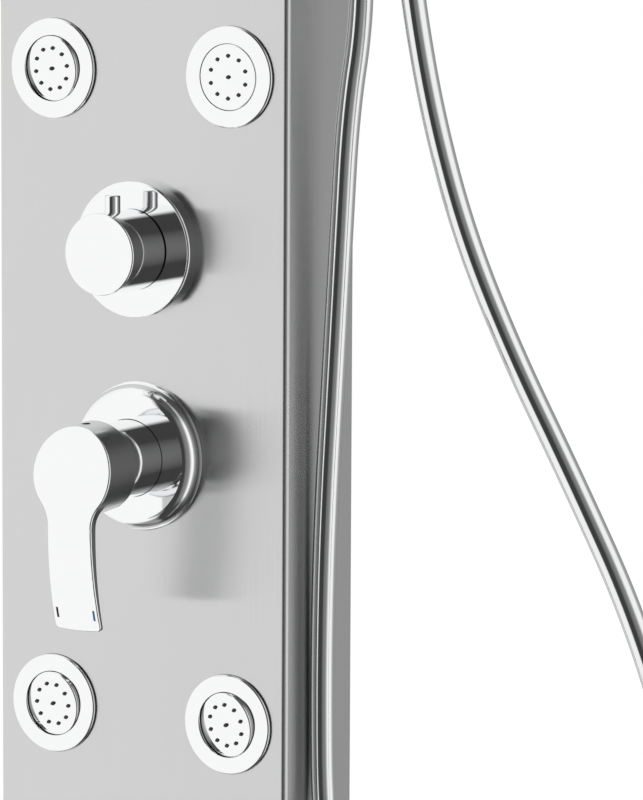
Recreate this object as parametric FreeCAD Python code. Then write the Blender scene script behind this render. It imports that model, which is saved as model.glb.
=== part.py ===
"""Wall-hung shower panel column, millimetres.

+Z is up, the wall is the plane y = 0 and the front faces -Y. The origin is
the centre of the four wall-screw slots, halfway up the panel.
"""
import FreeCAD, Part
import math
import os
from FreeCAD import Vector

# ---- panel -----------------------------------------------------------------
panel_height = 1300.0
panel_width = 200.0
panel_depth = 71.0
sheet = 1.2
thread_fit = 0.05            # clearance of a nut or a seat on its thread or pin
hole_fit = 0.3               # clearance of a fitting's neck in its hole in the sheet
screw_fit = 0.2
cap_fit = 0.2                # between the sheet and what sits inside it
bend_radius = 3.0            # outside radius of the two long folds
cap_skirt = 16.0
drain_radius = 3.0
drain_spacing = 80.0
bracket_height = 40.0
bracket_inset = 50.0         # bracket centre from the end of the panel
bracket_sheet = 2.0
bracket_ear = 26.0
wall_slot_spacing = 120.0
wall_slot_width = 7.0
wall_slot_length = 13.0
side_screw_radius = 2.5
side_screw_head = 4.5
side_screw_setback = 16.0    # screw centre from the wall

# ---- heights of the fittings ---------------------------------------------------
mixer_below_middle = 261.7
diverter_above_mixer = 121.2
upper_jets_above_mixer = 222.9
lower_jets_below_mixer = 152.4
arm_below_top = 90.0
outlet_above_mixer = 306.5   # elbow that feeds the hand shower hose
holder_above_mixer = 352.0

# ---- body jets ---------------------------------------------------------------
jet_side_room = 4.459        # between a jet's nut and the panel's side
jet_flange_width = 3.8       # flange outside the threaded neck
jet_flange_proud = 2.2
jet_flange_edge = 1.2
jet_gasket = 0.6
jet_ball_radius = 19.4
jet_face_inset = 0.4         # edge of the spray face inside the ball's radius
jet_ball_back = 12.0         # rear of the ball behind its centre
jet_seat_wall = 2.0
jet_seat_front = 7.0
jet_seat_back = 14.0
jet_neck_wall = 3.5
jet_neck_back = 14.0
jet_housing_back = 30.0
jet_spigot_back = 22.0       # hose spigot behind the ball's centre
jet_nut_wall = 4.5           # nut outside the neck, across the flats
jet_nut_thick = 9.0
jet_face_wall = 2.4
jet_nozzle_count = 10
jet_nozzle_ring = 12.2
jet_nozzle_radius = 1.15
jet_nozzle_out = 1.0
jet_pad_margin = 2.1         # soft pad outside the ring of nozzles
jet_pad_thick = 1.2
jet_swing_gap = 0.3          # between the ball, its seat and the flange
# how each spray disc stands: tilt down, turn to the right, roll (degrees)
jet_stand = {"upper_left": (4.0, -7.0, -8.0), "upper_right": (0.0, 0.0, 0.0),
             "lower_left": (4.5, -6.5, 18.0), "lower_right": (5.5, -8.0, 0.0)}

# ---- hoses inside the panel ------------------------------------------------------
inner_hose_radius = 6.0
inner_hose_bore = 4.7
spigot_radius = 4.6
spigot_bore = 3.2
spigot_length = 13.0
spigot_gap = 1.9             # between two spigots' ends inside one hose
tee_radius = 7.0
supply_hose_radius = 7.0
supply_hose_bore = 4.5
supply_spacing = 28.0        # between the two tails under the mixer
supply_bend = 24.0           # each supply hose turns back to the wall
supply_clear = 1.0           # between a supply hose and the sheet
supply_nut_flats = 25.0
inlet_thread_radius = 9.6    # half-inch pipe thread, at its minor diameter
inlet_thread_length = 16.0
inlet_spacing = 70.0
inlet_from_bottom = 90.0

# ---- diverter ----------------------------------------------------------------
diverter_plate_radius = 39.8
diverter_plate_proud = 10.0
diverter_plate_round = 1.4
diverter_plate_wall = 1.6
diverter_knob_radius = 23.6
diverter_knob_front = 43.5   # front of the knob off the panel
diverter_knob_gap = 1.0
diverter_pin_radius = 4.5
diverter_pin_length = 9.5
diverter_pin_setback = 14.2
diverter_stem_radius = 5.0
stem_flat_depth = 1.2
stem_flat_length = 12.0
stem_end = 8.0               # end of the stem behind the knob's face
diverter_block = (52.0, 42.0, 56.0)
diverter_neck_radius = 16.0
diverter_cartridge_radius = 13.0
cartridge_disc_room = 9.0    # from the socket's floor to the end of the stem
casting_behind_sheet = 4.0
top_outlet_offset = 12.0
diverter_inlet_depth = 12.0

# ---- mixer -------------------------------------------------------------------
mixer_plate_radius = 43.6
mixer_plate_proud = 12.0
mixer_plate_flat = 36.5      # the face is flat out to here, then turns down
mixer_plate_rim = 2.4        # height of the thin rim
mixer_plate_lip = 1.4        # width of the thin rim
mixer_plate_wall = 1.5
mixer_sleeve_front = 41.0    # off the panel
mixer_sleeve_out = 2.2       # sleeve outside the socket
mixer_socket_wall = 3.0
mixer_nose_inset = 7.0       # front of the socket behind the sleeve's front
mixer_tail_radius = 8.5
mixer_tail_length = 10.0     # beyond the body's radius
mixer_outlet_radius = 9.5
mixer_outlet_length = 8.0
pipe_radius = 7.1            # pipe from the mixer to the diverter
pipe_bore = 6.0
pipe_fit = 0.1
pipe_grip = 2.0              # how deep the pipe sits in each casting
cartridge_radius = 17.4
cartridge_length = 32.0
mixer_body_radius = 28.0
mixer_body_back = 46.0       # rear of the body behind the panel's face
lever_boss_radius = 26.5
lever_boss_wall = 4.0
lever_front = 71.7           # face of the boss off the panel, at its axis
lever_gap = 2.6              # from the sleeve to the rear of the boss
lever_droop = 3.2            # the closed lever hangs this many degrees nose down
lever_crest = 41.0           # the face stands furthest out this far below the axis
lever_face_radius = 200.0
lever_tip = 92.2             # tip below the axis
lever_tip_width = 31.6
lever_flare = 0.8            # each side of the blade, degrees from straight down
lever_blend_radius = 20.0    # hollow curve from the boss into the side of the blade
lever_tip_radius = 3.0
lever_foot_radius = 120.0    # the blade's lower edge
lever_edge = 0.8             # rounding of the front edge
lever_blade = 5.2            # blade thickness at the boss
lever_blade_tip = 2.2
lever_root = 5.0             # hollow curve under the blade where it leaves the boss
lever_pivot_setback = 8.0    # lift axis behind the sleeve's front
spindle_width = 8.0
turret_radius = 12.0
mark_length = 6.2
mark_width = 1.4
mark_above_tip = 10.5
mark_from_edge = 3.2
mark_depth = 0.35

# ---- overhead shower -----------------------------------------------------------
arm_radius = 11.0
arm_bore = 8.5
arm_reach = 330.0
arm_bend = 36.0
arm_drop = 52.0
arm_flange_radius = 28.0
arm_flange_proud = 7.0
head_ball_radius = 9.0
head_radius = 100.0
head_thick = 8.0

# ---- hand shower ---------------------------------------------------------------
holder_base_radius = 17.0
holder_arm_radius = 8.0
holder_screw_radius = 1.9
holder_screw_head = 3.8
holder_screw_reach = 4.5
holder_screw_offset = 11.5
cup_radius = 16.5
cup_above_foot = 12.0        # lower edge of the cup above the cone's foot
cup_height = 30.0
cup_slot = 16.0
cone_bottom = 9.6
cone_top = 12.6
cone_length = 46.0
cone_gap = 0.35
handle_length = 170.0
handle_radius = 11.5
handset_head_radius = 42.0
handset_head_thick = 15.0
handset_head_lean = 18.0     # face of the head from the handle's axis
handset_neck_length = 36.0
handset_neck_forward = 11.0  # how far the neck bends forward

# ---- hand shower hose -----------------------------------------------------------
hose_radius = 7.0
nut_radius = 10.5
outlet_thread = 9.0
outlet_bore = 4.0
outlet_rosette = 15.5
outlet_nut_flats = 24.0
nut_grip = 8.0               # the nut's rear and front ends from the hose's first point
# corners of the hose's route: x, y, z, from the outlet nut to the handset's cone
hose_route = [
    (122.6, -28.7, 18.0), (122.6, -28.7, -8.0), (117.0, -34.0, -60.0),
    (113.6, -35.0, -130.0), (110.8, -38.0, -210.0), (108.4, -42.5, -300.0),
    (107.4, -43.5, -390.0), (108.0, -42.0, -475.0), (120.0, -40.0, -548.0),
    (156.0, -38.0, -606.0), (213.0, -37.5, -633.0), (276.0, -37.0, -616.0),
    (324.0, -36.5, -562.0), (345.0, -36.5, -486.0), (335.0, -36.0, -405.0),
    (307.0, -36.0, -330.0), (267.5, -36.0, -258.0), (227.5, -35.5, -190.0),
    (196.0, -35.5, -125.0), (175.0, -35.5, -60.0), (163.0, -37.0, 0.0),
    (160.5, -42.0, 42.0), (160.5, -47.2, 63.0)]

panel_face = -panel_depth
mixer_z = -mixer_below_middle
diverter_z = mixer_z + diverter_above_mixer
jet_rows = {"upper": mixer_z + upper_jets_above_mixer,
            "lower": mixer_z - lower_jets_below_mixer}
arm_z = panel_height / 2 - arm_below_top
outlet_z = mixer_z + outlet_above_mixer
holder_z = mixer_z + holder_above_mixer
inlet_z = -panel_height / 2 + inlet_from_bottom

mixer_socket_radius = cartridge_radius + mixer_socket_wall
mixer_sleeve_radius = mixer_socket_radius + mixer_sleeve_out
mixer_nose = mixer_sleeve_front - mixer_nose_inset
lever_pivot_front = mixer_sleeve_front - lever_pivot_setback
lever_back = mixer_sleeve_front + lever_gap

jet_face_radius = jet_ball_radius - jet_face_inset
jet_cavity = jet_ball_radius + jet_seat_wall + 2 * jet_swing_gap
jet_neck_radius = jet_cavity + jet_neck_wall
jet_flange_radius = jet_neck_radius + jet_flange_width
jet_nut_flats = 2 * (jet_neck_radius + jet_nut_wall)
jet_spacing = panel_width - 2 * (jet_nut_flats / math.sqrt(3) + jet_side_room)
jet_columns = {"left": -jet_spacing / 2, "right": jet_spacing / 2}
jet_face_out = math.sqrt(jet_ball_radius ** 2 - jet_face_radius ** 2)
jet_pivot_y = panel_face - jet_flange_proud + jet_face_out
hose_line_y = jet_pivot_y + jet_spigot_back


# ---- helpers -----------------------------------------------------------------
def outline(start, *steps):
    """Closed face in XZ: a step is a point, or (mid point, end point) of an arc."""
    edges = []
    here = Vector(start[0], 0, start[1])
    for step in list(steps) + [start]:
        if isinstance(step[0], tuple):
            mid = Vector(step[0][0], 0, step[0][1])
            end = Vector(step[1][0], 0, step[1][1])
            edges.append(Part.Arc(here, mid, end).toShape())
        else:
            end = Vector(step[0], 0, step[1])
            if (end - here).Length < 1e-7:
                continue
            edges.append(Part.LineSegment(here, end).toShape())
        here = end
    return Part.Face(Part.Wire(edges))


def lathe(start, *steps):
    """Solid of revolution about +Z; points are (radius, height)."""
    return outline(start, *steps).revolve(Vector(), Vector(0, 0, 1), 360)


def rod(radius, low, high, bore=0.0):
    if bore > 0:
        return lathe((bore, low), (radius, low), (radius, high), (bore, high))
    return Part.makeCylinder(radius, high - low, Vector(0, 0, low))


def hexagon(flats, low, high, bore):
    corner = flats / math.sqrt(3)
    turns = [math.radians(60 * k) for k in range(7)]
    corners = [Vector(corner * math.cos(a), corner * math.sin(a), low) for a in turns]
    prism = Part.Face(Part.makePolygon(corners)).extrude(Vector(0, 0, high - low))
    return prism.cut(rod(bore, low - 1, high + 1))


def block(low, high):
    size = [b - a for a, b in zip(low, high)]
    return Part.makeBox(size[0], size[1], size[2], Vector(*low))


def moved(shape, x=0.0, y=0.0, z=0.0):
    result = shape.copy()
    result.translate(Vector(x, y, z))
    return result


def turned(shape, axis, degrees, centre=(0, 0, 0)):
    result = shape.copy()
    result.rotate(Vector(*centre), Vector(*axis), degrees)
    return result


def facing_front(shape, x, y, z):
    """Local +Z becomes -Y and local +Y becomes +Z."""
    return moved(turned(shape, (1, 0, 0), 90), x, y, z)


def sideways(shape, x, y, z, side=1):
    """Local +Z becomes +X, or -X when side is -1."""
    return moved(turned(shape, (0, 1, 0), 90 * side), x, y, z)


def fuse(shapes):
    result = shapes[0]
    for shape in shapes[1:]:
        result = result.fuse(shape)
    return result.removeSplitter()


def route_wire(points, share=0.45, bend=0.0):
    """Straight runs joined by tangent arcs, each as large as its two runs allow.

    An arc takes a share of the shorter run, or more where it needs it for the least bend.
    """
    corners = [Vector(*p) for p in points]
    edges = []
    radii = []
    here = corners[0]
    for before, corner, after in zip(corners, corners[1:], corners[2:]):
        back = before - corner
        ahead = after - corner
        half_turn = (math.pi - back.getAngle(ahead)) / 2
        setback = max(share * min(back.Length, ahead.Length), bend * math.tan(half_turn))
        radii.append(setback / math.tan(half_turn))
        back.normalize()
        ahead.normalize()
        bisector = (back + ahead).normalize()
        enter = corner + back * setback
        leave = corner + ahead * setback
        mid = corner + bisector * (radii[-1] / math.cos(half_turn) - radii[-1])
        edges.append(Part.LineSegment(here, enter).toShape())
        edges.append(Part.Arc(enter, mid, leave).toShape())
        here = leave
    edges.append(Part.LineSegment(here, corners[-1]).toShape())
    return Part.Wire(edges), radii


def swept(points, radius, bore=0.0, share=0.45, bend=0.0):
    wire, radii = route_wire(points, share, bend)
    first = wire.OrderedVertexes[0].Point
    heading = Vector(*points[1]) - Vector(*points[0])
    tubes = []
    for size in (radius, bore):
        if size > 0:
            ring = Part.Wire(Part.makeCircle(size, first, heading))
            tubes.append(wire.makePipeShell([ring], True, False))
    solid = tubes[0] if len(tubes) == 1 else tubes[0].cut(tubes[1])
    return solid, wire.Length, radii


# ---- panel and its fixings ----------------------------------------------------
def front_panel():
    half = panel_width / 2
    low, high = -panel_height / 2, panel_height / 2

    def shell(gap, radius):
        solid = block((-half + gap, panel_face + gap, low - gap), (half - gap, gap * 2, high + gap))
        edges = [e for e in solid.Edges if e.BoundBox.ZLength > panel_height / 2
                 and e.BoundBox.YMax < panel_face + gap + 1]
        return solid.makeFillet(radius, edges)

    folded = shell(0, bend_radius).cut(shell(sheet, bend_radius - sheet))
    holes = []
    for x in jet_columns.values():
        for z in jet_rows.values():
            holes.append(facing_front(rod(jet_neck_radius + hole_fit, -4, 4), x, panel_face, z))
    for radius, z in ((diverter_neck_radius + 0.5, diverter_z), (mixer_socket_radius + 1, mixer_z),
                      (arm_radius + hole_fit, arm_z)):
        holes.append(facing_front(rod(radius, -4, 4), 0, panel_face, z))
    for z in bracket_heights():
        for side in (-1, 1):
            hole = sideways(rod(side_screw_radius + screw_fit, -4, 4), side * half, -side_screw_setback, z)
            holes.append(hole)
    holes.append(sideways(rod(outlet_thread + hole_fit, -4, 4), half, hose_start().y, outlet_z))
    for z in holder_screw_heights():
        holes.append(sideways(rod(holder_screw_radius + screw_fit, -4, 4), half, holder_y(), z))
    return folded.cut(Part.makeCompound(holes))


def bracket_heights():
    reach = panel_height / 2 - bracket_inset
    return (-reach, reach)


def end_cap(end):
    """Tray that closes one end, its skirts turned inwards; end is +1 at the top."""
    half = panel_width / 2 - sheet - cap_fit
    front = panel_face + sheet + cap_fit
    corner = bend_radius - sheet
    outer = block((-half, front, 0), (half, -cap_fit, cap_skirt))
    inner = block((-half + sheet, front + sheet, -1), (half - sheet, 1, cap_skirt - sheet))
    edges = [e for e in outer.Edges if e.BoundBox.ZLength > sheet and e.BoundBox.YMax < front + 1]
    tray = outer.makeFillet(corner, edges).cut(inner)
    if end < 0:
        drain = rod(drain_radius, -1, cap_skirt + 1)
        drains = [moved(drain, x, panel_face / 2) for x in (-drain_spacing / 2, drain_spacing / 2)]
        tray = turned(tray.cut(Part.makeCompound(drains)), (0, 1, 0), 180)
    return moved(tray, z=end * (panel_height / 2 - cap_skirt))


def wall_bracket(z):
    """Channel on the wall: two slots for the wall screws, an ear at each side."""
    half = panel_width / 2 - sheet - cap_fit
    low, high = -bracket_height / 2, bracket_height / 2
    plate = block((-half, -bracket_sheet, low), (half, 0, high))
    ears = [block((min(side * half, side * (half - bracket_sheet)), -bracket_ear, low),
                  (max(side * half, side * (half - bracket_sheet)), 0, high)) for side in (-1, 1)]
    cuts = []
    straight = (wall_slot_length - wall_slot_width) / 2
    for side in (-1, 1):
        centre = side * wall_slot_spacing / 2
        radius = wall_slot_width / 2
        for end in (-straight, straight):
            cuts.append(facing_front(rod(radius, -1, bracket_sheet + 1), centre + end, 0, 0))
        cuts.append(block((centre - straight, -bracket_sheet - 1, -radius),
                          (centre + straight, 1, radius)))
        ear_hole = rod(side_screw_radius + 0.1, -bracket_sheet - 4, 4)
        cuts.append(sideways(ear_hole, side * half, -side_screw_setback, 0, side))
    return moved(fuse([plate] + ears).cut(Part.makeCompound(cuts)), z=z)


def side_screws():
    """Pan-head screws that hold the panel to the bracket ears."""
    head = 2.4
    screw = lathe((0, -10), (side_screw_radius, -10), (side_screw_radius, 0), (side_screw_head, 0),
                  (side_screw_head, head * 0.5), ((side_screw_head * 0.8, head * 0.9), (0, head)))
    socket = hexagon_prism(2.5, head - 1.3, head + 1)
    screw = screw.cut(socket)
    return [sideways(screw, side * panel_width / 2, -side_screw_setback, z, side)
            for z in bracket_heights() for side in (-1, 1)]


def hexagon_prism(flats, low, high):
    corner = flats / math.sqrt(3)
    turns = [math.radians(60 * k) for k in range(7)]
    corners = [Vector(corner * math.cos(a), corner * math.sin(a), low) for a in turns]
    return Part.Face(Part.makePolygon(corners)).extrude(Vector(0, 0, high - low))


# ---- body jets: local +Z faces the user, the ball's centre is the origin ----------
def zone(radius, low, high):
    """Part of a ball between two planes."""
    ball = Part.makeSphere(radius)
    return ball.common(rod(radius + 5, low, high))


def jet_flange():
    """Flange with the threaded neck; it holds the ball from the front."""
    ball, cavity, edge = jet_ball_radius + jet_swing_gap, jet_cavity, jet_flange_edge
    front = jet_face_out
    back = -jet_neck_back
    step = -1.0
    opening = math.sqrt(ball ** 2 - front ** 2)
    lip = math.sqrt(ball ** 2 - step ** 2)
    cavity_step = math.sqrt(cavity ** 2 - step ** 2)
    cavity_back = math.sqrt(cavity ** 2 - back ** 2)
    mid = step / 2 + back / 2
    return lathe(
        (opening, front), (jet_flange_radius - edge, front),
        ((jet_flange_radius - 0.35, front - 0.35), (jet_flange_radius, front - edge)),
        (jet_flange_radius, panel_side() + jet_gasket), (jet_neck_radius, panel_side() + jet_gasket),
        (jet_neck_radius, back), (cavity_back, back),
        ((math.sqrt(cavity ** 2 - mid ** 2), mid), (cavity_step, step)), (lip, step),
        ((math.sqrt(ball ** 2 - (front / 2) ** 2), front / 2), (opening, front)))


def panel_side():
    """Height of the panel's face in a jet's local frame."""
    return jet_face_out - jet_flange_proud


def jet_gasket_ring():
    return rod(jet_flange_radius - jet_flange_edge, panel_side(), panel_side() + jet_gasket, jet_neck_radius)


def jet_nut():
    top = panel_side() - sheet
    return hexagon(jet_nut_flats, top - jet_nut_thick, top, jet_neck_radius + thread_fit)


def jet_housing(spigot_up):
    """Rear cup with the hose spigot, closed behind the seat."""
    cavity = jet_cavity
    front, back = -jet_neck_back, -jet_housing_back
    deepest = -(cavity - 2.5)
    at_front = math.sqrt(cavity ** 2 - front ** 2)
    at_deep = math.sqrt(cavity ** 2 - deepest ** 2)
    mid = (front + deepest) / 2
    cup = lathe((at_front, front), (jet_neck_radius, front), (jet_neck_radius, back + 4),
                ((jet_neck_radius - 1.2, back + 1.2), (jet_neck_radius - 4, back)), (0, back),
                (0, deepest), (at_deep, deepest), ((math.sqrt(cavity ** 2 - mid ** 2), mid),
                                                  (at_front, front)))
    pipe = moved(turned(rod(spigot_radius, 0, jet_neck_radius + spigot_length), (1, 0, 0), -90),
                 z=-jet_spigot_back)
    duct = moved(turned(rod(spigot_bore, 0, jet_neck_radius + spigot_length + 1), (1, 0, 0), -90),
                 z=-jet_spigot_back)
    inside = zone(cavity, deepest, front).fuse(duct)
    body = cup.fuse(pipe).cut(inside).removeSplitter()
    return body if spigot_up else turned(body, (0, 0, 1), 180)


def jet_seat():
    """Friction ring behind the ball; its two faces are spheres about the ball's centre."""
    inner = jet_ball_radius + jet_swing_gap
    outer = inner + jet_seat_wall
    front, back = -jet_seat_front, -jet_seat_back
    mid = (front + back) / 2

    def at(radius, height):
        return (math.sqrt(radius ** 2 - height ** 2), height)
    return lathe(at(inner, front), at(outer, front), (at(outer, mid), at(outer, back)),
                 at(inner, back), (at(inner, mid), at(inner, front)))


def jet_disc():
    """Spray ball: drilled face, hollow behind it."""
    front, back = jet_face_out, -jet_ball_back
    chamber = jet_nozzle_ring + jet_pad_margin + 0.2
    floor = front - jet_face_wall
    rear = math.sqrt(jet_ball_radius ** 2 - back ** 2)
    dish = 0.5
    disc = lathe((0, front - dish), ((jet_face_radius * 0.35, front - dish * 0.85),
                                     (jet_face_radius * 0.62, front - 0.15)),
                 (jet_face_radius - 0.5, front),
                 ((jet_face_radius + 0.05, front - 0.45), (math.sqrt(jet_ball_radius ** 2 - 9), 3)),
                 ((jet_ball_radius, 0), (rear, back)), (chamber, back), (chamber, floor), (0, floor))
    holes = [rod(jet_nozzle_radius + 0.1, floor - 1, front + 1).translated(Vector(x, y, 0))
             for x, y in nozzle_places()]
    return disc.cut(Part.makeCompound(holes))


def nozzle_places():
    places = [(0, 0)]
    for k in range(jet_nozzle_count):
        angle = math.radians(90 + 360 * k / jet_nozzle_count)
        places.append((jet_nozzle_ring * math.cos(angle), jet_nozzle_ring * math.sin(angle)))
    return places


def jet_nozzles():
    """Soft pad behind the face with one nozzle through each hole."""
    floor = jet_face_out - jet_face_wall
    pad = rod(jet_nozzle_ring + jet_pad_margin, floor - jet_pad_thick, floor)
    tip = jet_face_out + jet_nozzle_out
    root = floor - jet_pad_thick / 2
    nozzle = lathe((0, root), (jet_nozzle_radius, root),
                   (jet_nozzle_radius, jet_face_out), (jet_nozzle_radius * 0.7, tip), (0, tip))
    nozzles = [nozzle.translated(Vector(x, y, 0)) for x, y in nozzle_places()]
    return pad.multiFuse(nozzles).removeSplitter()


def stand(shape, name):
    """Tilt a disc as it stands on this panel: down, to the right, and rolled."""
    down, right, roll = jet_stand[name]
    shape = turned(shape, (0, 0, 1), roll)
    shape = turned(shape, (1, 0, 0), down)
    return turned(shape, (0, 1, 0), right)


# ---- hoses inside the panel ------------------------------------------------------
def inner_hose(low, high):
    return rod(inner_hose_radius, low, high, inner_hose_bore)


def hose_tee():
    """Tee whose run is vertical and whose branch is +X, at the origin."""
    reach = tee_radius + spigot_length
    run = rod(spigot_radius, -reach, reach)
    branch = turned(rod(spigot_radius, 0, reach), (0, 1, 0), 90)
    knuckle = rod(tee_radius, -tee_radius, tee_radius)
    collar = turned(rod(tee_radius - 0.4, 0, tee_radius + 0.1), (0, 1, 0), 90)
    body = fuse([run, knuckle, collar, branch]).cut(rod(spigot_bore, -reach - 1, reach + 1))
    return body.cut(turned(rod(spigot_bore - 0.3, 0, reach + 1), (0, 1, 0), 90))


# ---- diverter --------------------------------------------------------------------
def diverter_body():
    """Cast block with one inlet below, two outlets above and one at each side."""
    wide, deep, high = diverter_block
    front = panel_face + sheet + casting_behind_sheet
    casting = block((-wide / 2, front, -high / 2), (wide / 2, front + deep, high / 2))
    casting = casting.makeFillet(4, [e for e in casting.Edges if e.BoundBox.YLength > deep / 2])
    neck = facing_front(rod(diverter_neck_radius, -front - deep / 2, -panel_face + 8), 0, 0, 0)
    parts = [casting, neck]
    socket = rod(diverter_cartridge_radius + 0.1, diverter_socket_floor() - 0.1, -panel_face + 9)
    ducts = [facing_front(socket, 0, 0, 0)]
    tee_end = jet_spacing / 2 - tee_radius - spigot_length
    ports = [((0, 1, 0), 90, wide / 2, tee_end - spigot_gap, 0),
             ((0, 1, 0), -90, wide / 2, tee_end - spigot_gap, 0),
             ((0, 0, 1), 0, high / 2, high / 2 + spigot_length, -top_outlet_offset),
             ((0, 0, 1), 0, high / 2, high / 2 + spigot_length, top_outlet_offset)]
    for axis, angle, face, end, x in ports:
        pipe = turned(rod(spigot_radius, face - 6, end), axis, angle)
        duct = turned(rod(spigot_bore, 12, end + 1), axis, angle)
        parts.append(moved(pipe, x, hose_line_y))
        ducts.append(moved(duct, x, hose_line_y))
    inlet = -high / 2 + diverter_inlet_depth
    ducts.append(moved(rod(pipe_radius + pipe_fit, -high / 2 - 1, inlet), 0, hose_line_y))
    ducts.append(moved(rod(5, inlet - 1, -8), 0, hose_line_y))
    return moved(fuse(parts).cut(Part.makeCompound(ducts)), z=diverter_z)


def diverter_cartridge():
    """Brass cartridge with its own bonnet, screwed into the casting's socket."""
    back = diverter_socket_floor()
    front = -panel_face + 8.2
    slack = diverter_stem_radius + 0.3
    step = back + cartridge_disc_room
    shape = lathe((3, back), (diverter_cartridge_radius, back), (diverter_cartridge_radius, front),
                  (diverter_neck_radius - 0.5, front), (diverter_neck_radius - 0.5, front + 2.4),
                  (slack, front + 2.4), (slack, step), (3, step))
    return facing_front(shape, 0, 0, diverter_z)


def diverter_socket_floor():
    """Height of the socket's floor off the wall."""
    return -panel_face - sheet - casting_behind_sheet - 22


def diverter_plate():
    """Flat round cover plate, hollow behind, with a softened edge."""
    radius, proud, soft = diverter_plate_radius, diverter_plate_proud, diverter_plate_round
    bore = diverter_neck_radius + 0.4
    inner, floor = radius - diverter_plate_wall, proud - diverter_plate_wall
    slope = soft * (1 - math.sqrt(0.5))
    shape = lathe((bore, proud), (radius - soft, proud),
                  ((radius - slope, proud - slope), (radius, proud - soft)),
                  (radius, 0), (inner, 0), (inner, floor), (bore, floor))
    return facing_front(shape, 0, panel_face, diverter_z)


def diverter_stem():
    """Turning stem from the cartridge into the knob."""
    back = diverter_socket_floor() + cartridge_disc_room + 0.3
    front = -panel_face + diverter_knob_front - stem_end
    shape = rod(diverter_stem_radius, back, front)
    flat = block((diverter_stem_radius - stem_flat_depth, -10, front - stem_flat_length),
                 (10, 10, front + 1))
    return facing_front(shape.cut(flat), 0, 0, diverter_z)


def knob_back():
    return diverter_plate_proud + diverter_knob_gap


def diverter_knob():
    """Round knob, hollow behind, bored for the stem and the pin."""
    front, back = diverter_knob_front, knob_back()
    radius = diverter_knob_radius
    wall = 3.0
    hub = diverter_stem_radius + 4.5
    shell = lathe((0, front), (radius - 0.8, front), ((radius - 0.25, front - 0.25), (radius, front - 0.8)),
                  (radius, back), (radius - wall, back), (radius - wall, front - 5),
                  (hub, front - 5), (hub, front - 22), (0, front - 22))
    bore_end = front - stem_end + 0.2
    bore = rod(diverter_stem_radius + 0.05, back - 1, bore_end)
    flat = block((diverter_stem_radius - stem_flat_depth + 0.05, -10, bore_end - stem_flat_length),
                 (10, 10, bore_end))
    spot = rod(diverter_pin_radius + 0.05, pin_seat(), radius + 1)
    pin_hole = moved(turned(rod(pin_shank(), 0, radius + 1).fuse(spot), (1, 0, 0), -90),
                     z=front - diverter_pin_setback)
    shell = shell.cut(bore.cut(flat)).cut(pin_hole)
    return facing_front(shell, 0, panel_face, diverter_z)


def pin_shank():
    return diverter_pin_radius * 0.55


def diverter_pin():
    """Grip pin screwed into the top of the knob, seated on a spot face."""
    radius, shank = diverter_pin_radius, pin_shank() - 0.05
    start = diverter_stem_radius + 0.3
    top = diverter_knob_radius + diverter_pin_length
    pin = lathe((0, start), (shank, start), (shank, pin_seat()), (radius, pin_seat()), (radius, top - 1.0),
                ((radius - 0.3, top - 0.3), (radius - 1.0, top)), (0, top))
    pin = moved(turned(pin, (1, 0, 0), -90), z=diverter_knob_front - diverter_pin_setback)
    return facing_front(pin, 0, panel_face, diverter_z)


def pin_seat():
    """Depth of the spot face: it just cleans up the round of the knob."""
    return math.sqrt(diverter_knob_radius ** 2 - (diverter_pin_radius + 0.05) ** 2) - 0.02


# ---- mixer -----------------------------------------------------------------------
def mixer_body():
    """Brass body: cartridge socket, two inlet tails below and the outlet above."""
    back = -panel_face - mixer_body_back
    shoulder = -panel_face - sheet - 3
    nose = -panel_face + mixer_nose
    barrel = lathe((0, back), (mixer_body_radius - 3, back),
                   ((mixer_body_radius - 0.9, back + 0.9), (mixer_body_radius, back + 3)),
                   (mixer_body_radius, shoulder), (mixer_socket_radius, shoulder),
                   (mixer_socket_radius, nose), (0, nose))
    barrel = facing_front(barrel, 0, 0, 0)
    socket = facing_front(rod(cartridge_radius + 0.2, nose - cartridge_length, nose + 1), 0, 0, 0)
    body, tail, outlet = mixer_body_radius, mixer_body_radius + mixer_tail_length, mixer_tail_radius
    tails = []
    ducts = [socket]
    for side in (-1, 1):
        x = side * supply_spacing / 2
        tails.append(moved(rod(outlet, -tail, -12), x, hose_line_y))
        ducts.append(moved(rod(supply_hose_bore, -tail - 1, -13), x, hose_line_y))
    collar = body + mixer_outlet_length
    tails.append(moved(rod(mixer_outlet_radius, 12, collar), 0, hose_line_y))
    ducts.append(moved(rod(pipe_radius + pipe_fit, body - pipe_grip, collar + 1), 0, hose_line_y))
    ducts.append(moved(rod(5, 10, body), 0, hose_line_y))
    return moved(fuse([barrel] + tails).cut(Part.makeCompound(ducts)), z=mixer_z)


def mixer_pipe():
    """Copper pipe from the mixer's outlet up into the diverter's inlet."""
    above, below = mixer_z + mixer_body_radius, diverter_z - diverter_block[2] / 2
    pipe = rod(pipe_radius, above - pipe_grip + 0.2, below + diverter_inlet_depth - 0.2, pipe_bore)
    lower = above + mixer_outlet_length + pipe_fit
    collars = [rod(mixer_outlet_radius, lower, lower + 3.9, pipe_bore),
               rod(mixer_outlet_radius, below - 4, below - pipe_fit, pipe_bore)]
    return moved(fuse([pipe] + collars), 0, hose_line_y)


def mixer_cartridge():
    """Ceramic cartridge: a closed can with a cup at its front for the turret."""
    nose = -panel_face + mixer_nose
    back = nose - cartridge_length + 0.2
    shape = lathe((0, back), (cartridge_radius, back), (cartridge_radius, nose - 0.2),
                  (turret_radius + 0.4, nose - 0.2), (turret_radius + 0.4, nose - 12), (0, nose - 12))
    return facing_front(shape, 0, 0, mixer_z)


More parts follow.
